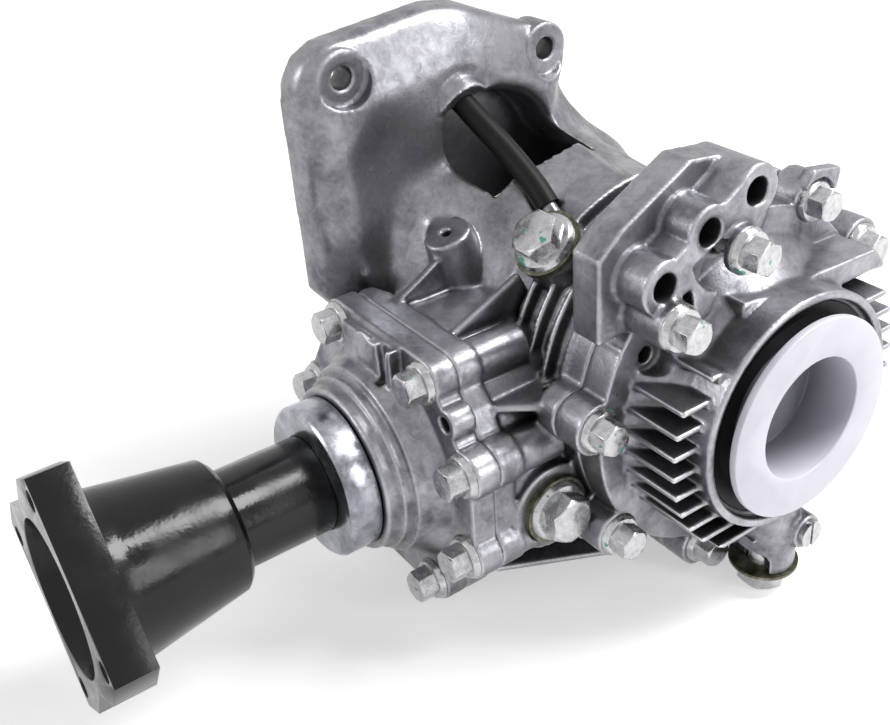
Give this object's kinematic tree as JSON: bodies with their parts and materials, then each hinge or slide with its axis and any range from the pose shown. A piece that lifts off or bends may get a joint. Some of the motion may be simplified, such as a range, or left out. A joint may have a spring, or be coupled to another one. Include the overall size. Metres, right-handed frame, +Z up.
{
  "type": "transfer case",
  "caption": "Compact transfer case in die-cast aluminium with a hollow input, a hypoid gear pair and a rear output shaft with a notched companion flange.",
  "frame": {"origin": "point of the input axis at the plane of the pinion axis", "axes": "+X along the input axis towards the side cover, -Y towards the companion flange, +Z up"},
  "size_m": [0.242, 0.4561, 0.2997],
  "materials": {
    "bearing_steel": "ground",
    "black_rubber": "matt",
    "flange_paint": "satin black paint",
    "gear_steel": "carburised, phosphated",
    "main_case_cast": "die cast, blasted satin",
    "pinion_cover_cast": "die cast, blasted satin",
    "plug_plastic": "matt white moulding",
    "seal_washer": "olive passivated",
    "shaft_steel": "turned and ground",
    "side_cover_cast": "die cast, blasted satin",
    "zinc_bolts": "zinc plated",
    "zinc_sheet": "bright zinc plated sheet"
  },
  "bodies": {
    "input": {"input_shaft": "shaft_steel", "left_bearing_inner": "bearing_steel", "right_bearing_inner": "bearing_steel", "ring_gear": "gear_steel", "ring_gear_bolts": "zinc_bolts"},
    "output": {"collapsible_spacer": "shaft_steel", "companion_flange": "flange_paint", "drive_pinion": "gear_steel", "dust_cover": "zinc_sheet", "head_bearing_inner": "bearing_steel", "pinion_nut": "shaft_steel", "tail_bearing_inner": "bearing_steel"},
    "plug": {"transport_plug": "plug_plastic"},
    "left_roller_set": {"left_bearing_rollers": "bearing_steel"},
    "right_roller_set": {"right_bearing_rollers": "bearing_steel"},
    "head_roller_set": {"head_bearing_rollers": "bearing_steel"},
    "tail_roller_set": {"tail_bearing_rollers": "bearing_steel"},
    "housing": {"breather_hose": "black_rubber", "breather_nipple": "shaft_steel", "cover_oil_seal": "black_rubber", "drain_plug": "zinc_bolts", "drain_washer": "seal_washer", "filler_plug": "zinc_bolts", "filler_washers": "seal_washer", "gearbox_oil_seal": "black_rubber", "head_bearing_cup": "bearing_steel", "left_bearing_cup": "bearing_steel", "level_plug": "zinc_bolts", "level_washers": "seal_washer", "main_case": "main_case_cast", "pinion_cover": "pinion_cover_cast", "pinion_cover_bolts": "zinc_bolts", "pinion_cover_dowels": "shaft_steel", "pinion_cover_o_ring": "black_rubber", "pinion_oil_seal": "black_rubber", "right_bearing_cup": "bearing_steel", "side_cover": "side_cover_cast", "side_cover_bolts": "zinc_bolts", "side_cover_long_bolts": "zinc_bolts", "slotted_screw_plug": "zinc_bolts", "tail_bearing_cup": "bearing_steel"}
  },
  "joints": [
    {"name": "input_spin", "type": "hinge", "parent": "housing", "child": "input", "pos_m": [0, 0, 0], "axis": [1, 0, 0], "continuous": true},
    {"name": "output_spin", "type": "hinge", "parent": "housing", "child": "output", "pos_m": [0, 0, -0.0292], "axis": [0, 1, 0], "continuous": true},
    {"name": "left_rollers_spin", "type": "hinge", "parent": "housing", "child": "left_roller_set", "pos_m": [0, 0, 0], "axis": [1, 0, 0], "continuous": true},
    {"name": "right_rollers_spin", "type": "hinge", "parent": "housing", "child": "right_roller_set", "pos_m": [0, 0, 0], "axis": [1, 0, 0], "continuous": true},
    {"name": "head_rollers_spin", "type": "hinge", "parent": "housing", "child": "head_roller_set", "pos_m": [0, 0, -0.0292], "axis": [0, 1, 0], "continuous": true},
    {"name": "tail_rollers_spin", "type": "hinge", "parent": "housing", "child": "tail_roller_set", "pos_m": [0, 0, -0.0292], "axis": [0, 1, 0], "continuous": true},
    {"name": "plug_pull", "type": "slide", "parent": "housing", "child": "plug", "axis": [1, 0, 0], "range_m": [0, 0.08]}
  ],
  "couplings": [
    {"joint": "output_spin", "follows": "input_spin", "ratio": 2.5625},
    {"joint": "left_rollers_spin", "follows": "input_spin", "ratio": 0.459},
    {"joint": "right_rollers_spin", "follows": "input_spin", "ratio": 0.459},
    {"joint": "head_rollers_spin", "follows": "input_spin", "ratio": 1.1352},
    {"joint": "tail_rollers_spin", "follows": "input_spin", "ratio": 1.1326}
  ]
}
